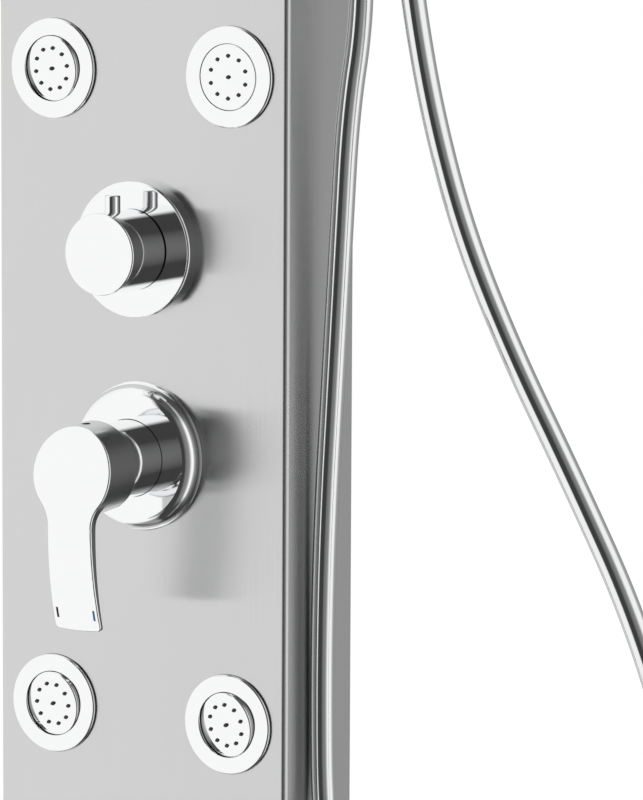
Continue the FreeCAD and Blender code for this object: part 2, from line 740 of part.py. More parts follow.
def cartridge_nut():
    """Ring nut on the socket's nose; it clamps the cartridge's rim."""
    nose = -panel_face + mixer_nose
    top = nose + 4.5
    ring = lathe((turret_radius + 2.2, nose + 0.1), (mixer_socket_radius - 0.2, nose + 0.1),
                 (mixer_socket_radius - 0.2, top), (turret_radius + 2.2, top))
    notches = [moved(block((-2, -2, nose + 2.5), (2, 2, top + 1)),
                     (mixer_socket_radius - 0.5) * math.cos(math.radians(a)),
                     (mixer_socket_radius - 0.5) * math.sin(math.radians(a))) for a in range(0, 360, 60)]
    return facing_front(ring.cut(Part.makeCompound(notches)), 0, 0, mixer_z)


def mixer_sleeve():
    """Smooth neck that covers the socket, turned in at its front edge."""
    back, front = mixer_plate_proud - 3.5, mixer_sleeve_front
    radius = mixer_sleeve_radius
    inner = mixer_socket_radius + 0.3
    lip = mixer_socket_radius - 2.2
    shape = lathe((inner, back), (radius, back), (radius, front - 1.6),
                  ((radius - 0.5, front - 0.5), (radius - 1.6, front)), (lip, front),
                  (lip, front - 1.4), (inner, front - 1.4))
    return facing_front(shape, 0, panel_face, mixer_z)


def mixer_plate():
    """Cover plate: flat face, round shoulder and a thin rim."""
    radius, proud, flat = mixer_plate_radius, mixer_plate_proud, mixer_plate_flat
    rim, lip, wall = mixer_plate_rim, mixer_plate_lip, mixer_plate_wall
    bore = mixer_sleeve_radius + 0.3
    foot = radius - lip
    soft = lip / 3

    def shoulder(inset):
        """Middle and end of the shoulder's quarter ellipse, drawn as an arc, inset by the wall."""
        wide, high = foot - inset - flat, proud - inset - rim
        return (flat + wide * math.sin(math.pi / 4), rim + high * math.cos(math.pi / 4)), (foot - inset, rim)
    shape = lathe((bore, proud), (flat, proud), shoulder(0), (radius - soft, rim),
                  (radius, rim - soft), (radius, 0), (foot - wall, 0), (foot - wall, rim),
                  (shoulder(wall)[0], (flat, proud - wall)), (bore, proud - wall))
    return facing_front(shape, 0, panel_face, mixer_z)


def cartridge_turret():
    """Turning guide in the cartridge; the spindle rocks in its slot."""
    nose = mixer_nose
    floor = nose - 11.7
    top = nose + 3.5
    body = rod(turret_radius, floor, top)
    slot = block((-spindle_width / 2 - 0.3, -9.5, floor + 2), (spindle_width / 2 + 0.3, 9.5, top + 1))
    axle = sideways(rod(1.5, -turret_radius + 1, turret_radius - 1), 0, 0, lever_pivot_front)
    return facing_front(body.cut(slot).fuse(axle), 0, panel_face, mixer_z)


def cartridge_spindle():
    """Square spindle on the turret's axle; the lever clamps its front end."""
    half = spindle_width / 2
    back = lever_pivot_front - 6
    front = lever_front - 13
    stem = block((-half, -half, back), (half, half, front))
    eye = sideways(rod(5.2, -half, half), 0, 0, lever_pivot_front)
    hole = sideways(rod(1.6, -half - 1, half + 1), 0, 0, lever_pivot_front)
    return on_lever(stem.fuse(eye).removeSplitter().cut(hole))


def on_lever(shape):
    """Place what moves with the lever, which hangs a little nose down when closed."""
    shape = turned(shape, (1, 0, 0), lever_droop, (0, 0, lever_pivot_front))
    return facing_front(shape, 0, panel_face, mixer_z)


def lever_face_height(below):
    """Height of the lever's front face off the panel, this far below the axis."""
    top = lever_front + lever_face_radius - math.sqrt(lever_face_radius ** 2 - lever_crest ** 2)
    return top - lever_face_radius + math.sqrt(lever_face_radius ** 2 - (below - lever_crest) ** 2)


def lever_outline():
    """Plan of boss and blade, looking at the front; local Y is up and every joint is tangent."""
    boss, blend, corner = lever_boss_radius, lever_blend_radius, lever_tip_radius
    flare = math.radians(lever_flare)
    down = Vector(math.sin(flare), -math.cos(flare), 0)
    out = Vector(math.cos(flare), math.sin(flare), 0)
    edge = lever_tip_width / 2 * math.cos(flare) - lever_tip * math.sin(flare)

    along = math.sqrt((boss + blend) ** 2 - (edge + blend) ** 2)
    hollow = out * (edge + blend) + down * along
    rim = hollow * (boss / (boss + blend))
    waist = out * edge + down * along
    hollow_mid = hollow - (Vector(hollow).normalize() + out).normalize() * blend

    foot_centre = Vector(0, lever_foot_radius - lever_tip, 0)
    start = out * (edge - corner) - foot_centre
    half = start.dot(down)
    rest = start.Length ** 2 - (lever_foot_radius - corner) ** 2
    corner_centre = start + foot_centre + down * (math.sqrt(half ** 2 - rest) - half)
    outward = (corner_centre - foot_centre).normalize()
    side_end = corner_centre + out * corner
    corner_mid = corner_centre + (out + outward).normalize() * corner
    foot_end = foot_centre + outward * lever_foot_radius

    half_edges = [Part.Arc(rim, hollow_mid, waist).toShape(), Part.LineSegment(waist, side_end).toShape(),
                  Part.Arc(side_end, corner_mid, foot_end).toShape()]
    other_half = [e.mirror(Vector(), Vector(1, 0, 0)) for e in half_edges]
    crown = Part.Arc(rim, Vector(0, boss, 0), Vector(-rim.x, rim.y, 0)).toShape()
    foot = Part.Arc(foot_end, Vector(0, -lever_tip, 0), Vector(-foot_end.x, foot_end.y, 0)).toShape()
    loop = Part.__sortEdges__([crown, foot] + half_edges + other_half)
    return Part.Face(Part.Wire(loop))


def lever_slab(depth):
    """Everything further than a depth behind the lever's curved front face, as a wide drum."""
    wide = 2 * panel_width
    axis = Vector(-wide / 2, -lever_crest, lever_face_height(lever_crest) - lever_face_radius)
    return Part.makeCylinder(lever_face_radius - depth, wide, axis, Vector(1, 0, 0))


def blade_back(below):
    """Height of the blade's rear face, this far below the axis."""
    share = (below - lever_boss_radius) / (lever_tip - lever_boss_radius)
    return lever_face_height(below) - lever_blade - (lever_blade_tip - lever_blade) * share


def mixer_lever():
    """Hollow boss and tapered blade in one casting, with a curved face."""
    boss, front = lever_boss_radius, lever_front + lever_blade * 3
    plan = lever_outline()
    solid = plan.extrude(Vector(0, 0, front)).common(lever_slab(0))
    face = [f for f in solid.Faces if abs(getattr(f.Surface, "Radius", 0) - lever_face_radius) < 0.01]
    solid = solid.makeFillet(lever_edge, face[0].Edges)

    near, middle, far = boss / 2, (boss / 2 + lever_tip) / 2, lever_tip + 1
    blade = outline((near, front), (near, blade_back(near)),
                    ((middle, blade_back(middle)), (far, blade_back(far))), (far, front))
    blade = turned(blade.extrude(Vector(0, 2 * boss, 0)), (0, 0, 1), -90)
    blade = moved(blade, x=-boss)
    top = blade_back(boss)
    hollow = lever_root * (1 - math.sqrt(0.5))
    root = lathe((boss - 2, top - lever_root), (boss, top - lever_root),
                 ((boss + hollow, top - hollow), (boss + lever_root, top)),
                 (boss + lever_root, top + 1), (boss - 2, top + 1))
    solid = solid.common(fuse([rod(boss, lever_back, front), blade, root]))

    rear = 1.2
    cut_back = rear * (1 - math.sqrt(0.5))
    rounding = lathe((boss - rear, lever_back - 1), (boss + 1, lever_back - 1),
                     (boss + 1, lever_back + rear),
                     (boss, lever_back + rear),
                     ((boss - cut_back, lever_back + cut_back), (boss - rear, lever_back)))
    cavity = rod(boss - lever_boss_wall, lever_back - 1, lever_front - 12)
    post = spindle_width / 2 + 4
    hub = block((-post, -post, lever_pivot_front + 19), (post, post, lever_front - 11))
    half = spindle_width / 2 + 0.05
    bore = block((-half, -half, lever_pivot_front), (half, half, lever_front - 12.8))
    screw_hole = moved(turned(rod(2.6, 0, 40), (1, 0, 0), -90), z=lever_screw_height())
    lever = solid.cut(rounding).cut(cavity).fuse(hub).cut(bore).cut(screw_hole).removeSplitter()
    return on_lever(lever)


def lever_screw_height():
    return lever_front - 16.5


def lever_screw():
    """Grub screw through the top of the boss onto the spindle."""
    start = spindle_width / 2 + 0.1
    end = lever_boss_radius - 5
    screw = rod(2.5, start, end).cut(hexagon_prism(2.5, end - 3, end + 1))
    return on_lever(moved(turned(screw, (1, 0, 0), -90), z=lever_screw_height()))


def lever_marks():
    """Hot and cold marks: two small bars let into the blade near its tip."""
    bars = []
    y = mark_above_tip - lever_tip
    for side in (-1, 1):
        x = side * (lever_tip_width / 2 - mark_from_edge)
        bar = block((x - mark_width / 2, y - mark_length / 2, 0),
                    (x + mark_width / 2, y + mark_length / 2, 2 * lever_front))
        bars.append(on_lever(bar.common(lever_slab(-0.05)).cut(lever_slab(mark_depth))))
    return bars


# ---- overhead shower ---------------------------------------------------------------
def arm_end():
    return Vector(0, panel_face - arm_reach, arm_z - arm_drop)


def head_arm():
    """Tube through the panel, out over the user and down."""
    route = [(0, panel_face + 30, arm_z), (0, panel_face - arm_reach, arm_z), tuple(arm_end())]
    wire_radius = arm_bend
    start = Vector(*route[0])
    corner = Vector(*route[1])
    end = Vector(*route[2])
    enter = corner + Vector(0, wire_radius, 0)
    leave = corner - Vector(0, 0, wire_radius)
    mid = corner + Vector(0, 1, -1).normalize() * wire_radius * (math.sqrt(2) - 1)
    path = Part.Wire([Part.LineSegment(start, enter).toShape(), Part.Arc(enter, mid, leave).toShape(),
                      Part.LineSegment(leave, end).toShape()])
    tubes = [path.makePipeShell([Part.Wire(Part.makeCircle(r, start, Vector(0, -1, 0)))], True, False)
             for r in (arm_radius, arm_bore)]
    return tubes[0].cut(tubes[1])


def arm_flange():
    proud = arm_flange_proud
    shape = lathe((arm_radius + 0.1, 0), (arm_flange_radius, 0), (arm_flange_radius, 1.5),
                  ((arm_flange_radius - 4, proud - 1.6), (arm_radius + 7, proud)), (arm_radius + 0.1, proud))
    return facing_front(shape, 0, panel_face, arm_z)


def arm_elbow():
    """Backing nut and elbow that joins the arm to its hose."""
    front = -panel_face - sheet
    nut = facing_front(hexagon(32, front - 8, front, arm_radius + 0.1), 0, 0, 0)
    chamber = facing_front(rod(arm_radius + 3, front - 36, front - 8, arm_radius + 0.1), 0, 0, 0)
    end = facing_front(rod(arm_radius + 3, front - 38.5, front - 36), 0, 0, 0)
    pipe = moved(rod(spigot_radius, -arm_radius - 3 - spigot_length, -arm_radius - 1), 0, panel_face + 33)
    duct = moved(rod(spigot_bore, -arm_radius - 4 - spigot_length, -arm_radius + 3), 0, panel_face + 33)
    return moved(fuse([nut, chamber, end, pipe]).cut(duct), z=arm_z)


def head_pivot():
    return arm_end() - Vector(0, 0, 14)


def ball_collar():
    """Nut on the arm's end that holds the head's ball; local origin at the ball."""
    ball = head_ball_radius + 0.3
    cavity = ball + 1.5 + 0.3
    low = 4.6
    top = 14.0
    outer = cavity + 2.6
    lip = math.sqrt(ball ** 2 - low ** 2)
    neck = arm_bore * 0.7
    at_step = math.sqrt(cavity ** 2 - 1)
    return lathe((arm_bore, top), (outer - 1, top), (outer, top - 1), (outer, -low),
                 (outer - 1.5, -low - 1.2), (lip + 1.2, -low - 1.2), (lip, -low),
                 ((math.sqrt(ball ** 2 - 9), -3), (math.sqrt(ball ** 2 - 1), -1)),
                 (at_step, -1), ((cavity, 0), (at_step, 1)),
                 ((math.sqrt(cavity ** 2 - 25), 5), (neck, math.sqrt(cavity ** 2 - neck ** 2))),
                 (neck, top - 2), (arm_bore, top - 2))


def ball_seat():
    """Nylon ring above the head's ball."""
    inner = head_ball_radius + 0.3
    outer = inner + 1.5

    def at(radius, height):
        return (math.sqrt(radius ** 2 - height ** 2), height)
    return lathe(at(inner, 3.6), at(outer, 3.6), (at(outer, 5.2), at(outer, 6.8)), at(inner, 6.8),
                 (at(inner, 5.2), at(inner, 3.6)))


def head_ball():
    """Ball with a water way and a stem that screws into the head."""
    stem = 6.2
    ball = Part.makeSphere(head_ball_radius).cut(rod(20, head_ball_radius - 2, 20))
    stud = rod(stem, -19, -4)
    return fuse([ball, stud]).cut(rod(3.5, -20, 20))


def rain_head():
    """Thin round head with a raised centre and its socket."""
    top = -16.0
    low = top - head_thick - 4
    hub = 15.0
    shape = lathe((6.25, top), (hub - 1, top), (hub, top - 1), (hub, top - 3),
                  ((hub + 12, low + head_thick * 0.75), (hub + 40, low + head_thick * 0.55)),
                  (head_radius - 2, low + 2.2), ((head_radius - 0.3, low + 1.9), (head_radius, low + 1.2)),
                  (head_radius, low), (head_radius - 3, low), (head_radius - 3, low + 1.2), (hub, low + 2.4),
                  (6.25, low + 2.4))
    return shape


def rain_face():
    """Nozzle plate of the head: a soft sheet with its nozzles."""
    low = -16.0 - head_thick - 4
    plate = rod(head_radius - 3.2, low - 0.1, low + 1.1)
    nozzle = lathe((0, low), (1.7, low), (1.1, low - 2.4), (0, low - 2.4))
    places = []
    for ring in range(1, 5):
        for k in range(6 * ring):
            angle = 2 * math.pi * k / (6 * ring)
            places.append((21 * ring * math.cos(angle), 21 * ring * math.sin(angle)))
    return plate.multiFuse([nozzle.translated(Vector(x, y, 0)) for x, y in places])


# ---- hand shower, its holder and its hose ------------------------------------------------
def hose_start():
    return Vector(*hose_route[0])


def outlet_elbow():
    """Elbow on the side of the panel, its outlet pointing down, with a nut inside."""
    start, side = hose_start(), panel_width / 2
    neck, bore, rose = outlet_thread, outlet_bore, outlet_rosette
    reach, inside = start.x - side, -14
    foot = start.z + 17.0 - outlet_z
    tip = inside - spigot_length

    def across(shape):
        return sideways(shape, side, start.y, outlet_z)

    def below(shape):
        return moved(shape, start.x, start.y, outlet_z)
    rosette = lathe((0, 0), (rose, 0), (rose, 2.2), ((rose - 1.3, 4.6), (rose - 4.5, 5.2)), (0, 5.2))
    outer = [across(fuse([rosette, rod(neck, inside, reach)])), below(Part.makeSphere(neck)),
             below(rod(neck, foot, 0)), below(rod(neck - 1.4, foot - 9, foot)),
             across(rod(spigot_radius, tip, inside))]
    ducts = [across(rod(bore, inside + 1, reach)), across(rod(spigot_bore, tip - 1, inside + 2)),
             below(rod(bore, foot - 10, 0)), below(Part.makeSphere(bore))]
    return fuse(outer).cut(fuse(ducts))


def outlet_nut():
    """Lock nut inside the panel."""
    nut = hexagon(outlet_nut_flats, -sheet - 7, -sheet, outlet_thread + thread_fit)
    return sideways(nut, panel_width / 2, hose_start().y, outlet_z)


def hose_nut():
    """Knurled end nut between the elbow and the hose; local +Z is up."""
    shape = lathe((7.7, 7.8), (nut_radius - 0.6, 7.8), (nut_radius, 7.2), (nut_radius, -3),
                  ((nut_radius - 0.6, -6.5), (8.0, -8)), (0, -8), (0, -1.4), (7.7, -1.4))
    place = hose_start()
    flutes = [moved(rod(0.7, -3, 9), (nut_radius + 0.25) * math.cos(math.radians(a)),
                    (nut_radius + 0.25) * math.sin(math.radians(a))) for a in range(0, 360, 30)]
    return moved(shape.cut(Part.makeCompound(flutes)), place.x, place.y, place.z + nut_grip)


def holder_y():
    """The holder's arm meets the cup's axis at the arm's height."""
    foot = handset_foot()
    return foot.y - (holder_z - foot.z) * math.tan(math.radians(holder_lean()))


def handset_foot():
    """Where the hose meets the handset's cone."""
    return Vector(*hose_route[-1])


def holder_lean():
    """The handset leans forward in line with the hose's last run, in degrees."""
    run = Vector(*hose_route[-1]) - Vector(*hose_route[-2])
    return math.degrees(math.atan2(-run.y, run.z))


def leaning(shape):
    """Put a shape drawn along +Z from the cone's foot onto the handset's axis."""
    foot = handset_foot()
    return moved(turned(shape, (1, 0, 0), holder_lean()), foot.x, foot.y, foot.z)


def cone_at(height):
    return cone_bottom + (cone_top - cone_bottom) * height / cone_length


def hose_cone():
    """Conical nut of the hose, which sits in the holder."""
    shape = lathe((0, 0), (hose_radius + 1.4, 0), ((cone_bottom - 0.4, 0.5), (cone_bottom, 1.6)),
                  (cone_top, cone_length), (0, cone_length))
    return leaning(shape)


def handset_holder():
    """Base on the panel's side, arm and slotted cup."""
    low = cup_above_foot
    high = low + cup_height
    inner_low = cone_at(low) + cone_gap
    inner_high = cone_at(high) + cone_gap
    cup = lathe((inner_low, low), (cup_radius - 1.5, low), (cup_radius - 0.5, low + 1),
                (cup_radius, high - 1), (cup_radius - 1, high), (inner_high, high))
    cup = leaning(cup.cut(block((-cup_slot / 2, -40, low - 1), (cup_slot / 2, 0, high + 1))))
    side = panel_width / 2
    radius = holder_base_radius
    base = lathe((0, 0), (radius, 0), (radius, 3), ((radius - 0.8, 5.2), (radius - 3, 6)), (0, 6))
    base = sideways(base, side, holder_y(), holder_z)
    arm = sideways(rod(holder_arm_radius, 4, handset_foot().x - side), side, holder_y(), holder_z)
    clear = [leaning(lathe((0, low - 20), (inner_low, low - 20), (inner_low, low), (inner_high, high),
                           (inner_high, high + 20), (0, high + 20)))]
    screw_hole = rod(holder_screw_radius + 0.05, -1, holder_screw_reach + 0.3)
    for z in holder_screw_heights():
        clear.append(sideways(screw_hole, side, holder_y(), z))
    return fuse([base, arm]).cut(Part.makeCompound(clear)).fuse(cup).removeSplitter()


def holder_screws():
    """Screws from inside the panel into the holder's base."""
    under = -sheet
    screw = lathe((0, under - 2.4), (holder_screw_head, under - 2.4), (holder_screw_head, under),
                  (holder_screw_radius, under), (holder_screw_radius, holder_screw_reach),
                  (0, holder_screw_reach))
    return [sideways(screw, panel_width / 2, holder_y(), z) for z in holder_screw_heights()]


def holder_screw_heights():
    return [holder_z - holder_screw_offset, holder_z + holder_screw_offset]


def handset_body():
    """Handle, neck and round head in one moulding."""
    base, top, grip = cone_length, cone_length + handle_length, handle_radius
    handle = lathe((0, base), (grip + 1.2, base), (grip + 1.2, base + 2.0), (grip - 1.2, base + 3.2),
                   (grip - 1.2, base + 5), ((grip + 0.3, base + 60), (grip, top)), (0, top))
    rings = []
    for share in (0.0, 1 / 3, 2 / 3, 1.0):
        lean = math.radians(handset_head_lean * share)
        centre = Vector(0, -handset_neck_forward * share ** 2, top + handset_neck_length * share)
        facing = Vector(0, -math.sin(lean), math.cos(lean))
        rings.append(Part.Wire(Part.makeCircle(grip * (1 - 0.2 * share), centre, facing)))
    neck = Part.makeLoft(rings, True)
    radius, thick = handset_head_radius, handset_head_thick
    head = handset_head(lathe(
        (0, 0), (radius - 3, 0), (radius - 3, -1.4), (radius - 0.6, -1.4),
        ((radius, 2.0), (radius - 1, 5.5)), ((radius * 0.62, thick * 0.86), (0, thick))))
    in_front = handset_head(rod(radius - 3, -handle_length, 0.0))
    return leaning(fuse([handle, neck, head]).cut(in_front))


def handset_head(shape):
    """Place the head: local +Z is its back, its face looks forward and down."""
    shape = turned(shape, (1, 0, 0), handset_head_lean - 90)
    lean = math.radians(handset_head_lean)
    rise = handset_head_radius * math.cos(lean) + handset_neck_length / 4
    forward = handset_head_radius * math.sin(lean) + handle_radius
    return moved(shape, 0, -forward, cone_length + handle_length + rise)


def handset_face():
    """Soft spray face with its nozzles."""
    plate = rod(handset_head_radius - 3.2, -1.0, -0.05)
    nozzle = lathe((0, -0.6), (1.3, -0.6), (0.9, -2.8), (0, -2.8))
    places = []
    for ring in range(1, 4):
        for k in range(6 * ring):
            angle = 2 * math.pi * k / (6 * ring)
            places.append((11 * ring * math.cos(angle), 11 * ring * math.sin(angle)))
    face = plate.multiFuse([nozzle.translated(Vector(x, y, 0)) for x, y in places])
    return leaning(handset_head(face))


def shower_hose():
    """The hand shower's hose, from the outlet nut to the cone."""
    solid, length, radii = swept(hose_route, hose_radius)
    print("hose length %.1f, least radius %.1f" % (length, min(radii)))
    print("hose radii", " ".join("%.0f" % r for r in radii))
    print("hose volume over section times length %.5f"
          % (solid.Volume / (math.pi * hose_radius ** 2 * length)))
    return solid


# ---- assembly ------------------------------------------------------------------------------
def inner_hoses():
    """Straight hoses between the diverter, the tees, the jets and the arm."""
    hoses = []
    for x in jet_columns.values():
        upper = inner_hose(diverter_z + tee_radius + 0.2, jet_rows["upper"] - jet_neck_radius - 0.4)
        lower = inner_hose(jet_rows["lower"] + jet_neck_radius + 0.4, diverter_z - tee_radius - 0.2)
        hoses += [moved(upper, x, hose_line_y), moved(lower, x, hose_line_y)]
        side = 1 if x > 0 else -1
        reach = abs(x) - tee_radius - 0.2
        link = inner_hose(diverter_block[0] / 2 + 0.2, reach)
        hoses.append(sideways(link, 0, hose_line_y, diverter_z, side))
    return hoses


def head_hose():
    """Hose from the diverter up to the arm's elbow."""
    start = (-top_outlet_offset, hose_line_y, diverter_z + diverter_block[2] / 2 + 0.3)
    end = (0, panel_face + 33, arm_z - arm_radius - 3.3)
    route = [start, (start[0], start[1], start[2] + 120), (end[0], end[1], end[2] - 160), end]
    return swept(route, inner_hose_radius, inner_hose_bore, 0.3)[0]


def handset_feed():
    """Hose from the diverter to the elbow on the side."""
    start = (top_outlet_offset, hose_line_y, diverter_z + diverter_block[2] / 2 + 0.3)
    end = (panel_width / 2 - 14.3, hose_start().y, outlet_z)
    route = [start, (start[0], start[1], start[2] + 60), (30, end[1], end[2] - 40),
             (48, end[1], end[2]), end]
    return swept(route, inner_hose_radius, inner_hose_bore, 0.4)[0]


def supply_route(side):
    """Down from the mixer, between the lower jets, forward and out, then back to the wall."""
    top = mixer_z - mixer_body_radius - mixer_tail_length - 0.2
    inner = side * supply_spacing / 2
    outer = side * inlet_spacing / 2
    front = panel_face + sheet + supply_clear + supply_hose_radius
    return [(inner, hose_line_y, top), (inner, hose_line_y, top - 45),
            (side * (supply_spacing / 2 + 5), hose_line_y + 3, jet_rows["lower"] - 16),
            (outer, front, inlet_z + 56), (outer, front, inlet_z),
            (outer, front + supply_bend + 4, inlet_z)]


def supply_hose(side):
    """Braided supply hose that hangs inside the panel."""
    return swept(supply_route(side), supply_hose_radius, supply_hose_bore, 0.4, supply_bend)[0]


def supply_nut(side):
    """Half-inch union nut on the end of a supply hose, open towards the wall."""
    x, y, z = supply_route(side)[-1]
    flats, washer, fit = supply_nut_flats / 2, 3.0, supply_hose_radius + 0.05
    nut = hexagon(supply_nut_flats, -washer - inlet_thread_length, -washer, inlet_thread_radius)
    cap = lathe((supply_hose_bore, -washer), (flats, -washer), (flats, 0),
                ((flats - 0.8, 1.8), (flats - 2.5, 2.5)), (fit, 2.5), (fit, 0), (supply_hose_bore, 0))
    return facing_front(nut.fuse(cap), x, y, z)


def build():
    nodes = {"front_panel": front_panel()}
    nodes["end_caps"] = [end_cap(1), end_cap(-1)]
    nodes["wall_brackets"] = [wall_bracket(z) for z in bracket_heights()]
    nodes["panel_screws"] = side_screws() + holder_screws()

    gaskets, nuts, housings = [], [], []
    for row, z in jet_rows.items():
        for column, x in jet_columns.items():
            name = row + "_" + column
            place = (x, jet_pivot_y, z)
            nodes["jet_flange_" + name] = facing_front(jet_flange(), *place)
            seat = turned(jet_seat(), (0, 1, 0), jet_stand[name][1])
            nodes["jet_seat_" + name] = facing_front(seat, *place)
            nodes["jet_disc_" + name] = facing_front(stand(jet_disc(), name), *place)
            nodes["jet_nozzles_" + name] = facing_front(stand(jet_nozzles(), name), *place)
            gaskets.append(facing_front(jet_gasket_ring(), *place))
            nuts.append(facing_front(jet_nut(), *place))
            housings.append(facing_front(jet_housing(row == "lower"), *place))
    nodes["jet_gaskets"] = gaskets
    nodes["backing_nuts"] = nuts + [outlet_nut()]
    nodes["jet_housings"] = housings

    tee = hose_tee()
    nodes["hose_tees"] = [moved(tee, jet_columns["left"], hose_line_y, diverter_z),
                          moved(turned(tee, (0, 0, 1), 180), jet_columns["right"], hose_line_y, diverter_z)]
    nodes["jet_hoses"] = inner_hoses()
    nodes["feed_hoses"] = [head_hose(), handset_feed()]
    nodes["mixer_pipe"] = mixer_pipe()
    nodes["supply_hoses"] = [supply_hose(side) for side in (-1, 1)]
    nodes["supply_nuts"] = [supply_nut(side) for side in (-1, 1)]

    nodes["diverter_body"] = diverter_body()
    nodes["diverter_cartridge"] = diverter_cartridge()
    nodes["diverter_plate"] = diverter_plate()
    nodes["diverter_stem"] = diverter_stem()
    nodes["diverter_knob"] = diverter_knob()
    nodes["diverter_pin"] = diverter_pin()

    nodes["mixer_body"] = mixer_body()
    nodes["mixer_cartridge"] = mixer_cartridge()
    nodes["cartridge_nut"] = cartridge_nut()
    nodes["mixer_plate"] = mixer_plate()
    nodes["mixer_sleeve"] = mixer_sleeve()
    nodes["cartridge_turret"] = cartridge_turret()
    nodes["cartridge_spindle"] = cartridge_spindle()
    nodes["lever_marks"] = lever_marks()
    lever = mixer_lever()
    nodes["mixer_lever"] = lever.cut(Part.makeCompound(nodes["lever_marks"]))
    nodes["lever_screw"] = lever_screw()

    pivot = head_pivot()
    nodes["head_arm"] = head_arm()
    nodes["arm_flange"] = arm_flange()
    nodes["arm_elbow"] = arm_elbow()
    for make in (ball_collar, ball_seat, head_ball, rain_head, rain_face):
        nodes[make.__name__] = moved(make(), pivot.x, pivot.y, pivot.z)

    nodes["outlet_elbow"] = outlet_elbow()
    nodes["hose_nut"] = hose_nut()
    nodes["shower_hose"] = shower_hose()
    nodes["hose_cone"] = hose_cone()
    nodes["handset_holder"] = handset_holder()
    nodes["handset_body"] = handset_body()
    nodes["handset_face"] = handset_face()
    return nodes


def main():
    os.makedirs("parts", exist_ok=True)
    for name, shape in build().items():
        if isinstance(shape, list):
            shape = Part.makeCompound(shape)
        shape.exportStep("parts/%s.step" % name)


main()
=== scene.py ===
"""Looks of the wall-hung shower column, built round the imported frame.

Metres, +Z up, the wall is y = 0 and the front faces -Y.
"""
import math

import bpy
from mathutils import Matrix, Vector


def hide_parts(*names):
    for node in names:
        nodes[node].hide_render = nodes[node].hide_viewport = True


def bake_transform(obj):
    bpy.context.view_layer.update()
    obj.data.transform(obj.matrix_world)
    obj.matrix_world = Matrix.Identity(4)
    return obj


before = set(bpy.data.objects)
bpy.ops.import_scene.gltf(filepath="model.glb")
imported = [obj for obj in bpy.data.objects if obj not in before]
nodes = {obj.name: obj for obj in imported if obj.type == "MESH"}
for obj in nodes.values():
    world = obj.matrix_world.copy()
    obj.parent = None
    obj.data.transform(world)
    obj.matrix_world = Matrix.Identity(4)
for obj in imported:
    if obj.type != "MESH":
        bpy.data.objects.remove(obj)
bpy.context.view_layer.update()

MM = 0.001
JETS = ("upper_left", "upper_right", "lower_left", "lower_right")

# the photograph's camera, fitted to the jets' flanges and the panel's edges (degrees, mm lens)
CAMERA_AZIMUTH = 31.87       # to the right of the panel's front
CAMERA_ELEVATION = 7.66
CAMERA_ROLL = 0.28
CAMERA_TARGET = (0.12339, -0.071, -0.21988)
CAMERA_DISTANCE = 3.076
CAMERA_LENS = 243.495
CAMERA_SENSOR = 36.0

FLOOR_Z = -1.36              # such a column hangs with its mixer 1.1 m over the floor
FLOOR_REACH = 6.0
FLOOR_FADE = (0.9, 2.0)      # from the column's foot, where the floor turns into the white ground
ROOM_LIGHT = 0.75            # level of the plain light from all round

TENT_RADIUS = 2.4
TENT_LOW = FLOOR_Z + 0.02
TENT_CENTRE = -0.2           # elevations in the tent are taken from here
TENT_SHOULDER = 0.6          # where its wall turns in to the crown
TENT_RISE = 2.0              # from the shoulder to the crown
TENT_POLE = 0.01             # small hole at both ends of the axis
TENT_SIDES = 96
TENT_ARCS = 12               # steps from the shoulder to the crown


# ---- camera ----------------------------------------------------------------------
def make_camera():
    azimuth, elevation, roll = (math.radians(a) for a in (CAMERA_AZIMUTH, CAMERA_ELEVATION, CAMERA_ROLL))
    back = Vector((math.sin(azimuth) * math.cos(elevation),
                   -math.cos(azimuth) * math.cos(elevation), math.sin(elevation)))
    level = (-back).cross(Vector((0, 0, 1))).normalized()
    upright = level.cross(-back)
    right = level * math.cos(roll) + upright * math.sin(roll)
    up = upright * math.cos(roll) - level * math.sin(roll)
    data = bpy.data.cameras.new("camera")
    data.lens, data.sensor_width, data.sensor_fit = CAMERA_LENS, CAMERA_SENSOR, "AUTO"
    data.clip_start, data.clip_end = 0.1, 50
    camera = bpy.data.objects.new("camera", data)
    camera.matrix_world = Matrix.LocRotScale(
        Vector(CAMERA_TARGET) + back * CAMERA_DISTANCE,
        Matrix((right, up, back)).transposed().to_quaternion(), None)
    bpy.context.scene.collection.objects.link(camera)
    bpy.context.scene.camera = camera


# ---- hand shower hose --------------------------------------------------------------
HOSE_RADIUS = 7 * MM
# corners of the hose's route in millimetres, as the frame's solid has them
HOSE_ROUTE = [
    (122.6, -28.7, 18.0), (122.6, -28.7, -8.0), (117.0, -34.0, -60.0),
    (113.6, -35.0, -130.0), (110.8, -38.0, -210.0), (108.4, -42.5, -300.0),
    (107.4, -43.5, -390.0), (108.0, -42.0, -475.0), (120.0, -40.0, -548.0),
    (156.0, -38.0, -606.0), (213.0, -37.5, -633.0), (276.0, -37.0, -616.0),
    (324.0, -36.5, -562.0), (345.0, -36.5, -486.0), (335.0, -36.0, -405.0),
    (307.0, -36.0, -330.0), (267.5, -36.0, -258.0), (227.5, -35.5, -190.0),
    (196.0, -35.5, -125.0), (175.0, -35.5, -60.0), (163.0, -37.0, 0.0),
    (160.5, -42.0, 42.0), (160.5, -47.2, 63.0)]


def route_line(name, route, resolution=24):
    """Points of the smooth line that a route's corners control."""
    data = bpy.data.curves.new(name, "CURVE")
    data.dimensions = "3D"
    data.resolution_u = resolution
    spline = data.splines.new("NURBS")
    spline.points.add(len(route) - 1)
    for point, corner in zip(spline.points, route):
        point.co = (*(c * MM for c in corner), 1)
    spline.order_u = 3
    spline.use_endpoint_u = True
    carrier = bpy.data.objects.new(name, data)
    bpy.context.scene.collection.objects.link(carrier)
    bpy.context.view_layer.update()
    line = bpy.data.meshes.new_from_object(carrier)
    points = [v.co.copy() for v in line.vertices]
    bpy.data.objects.remove(carrier)
    return points


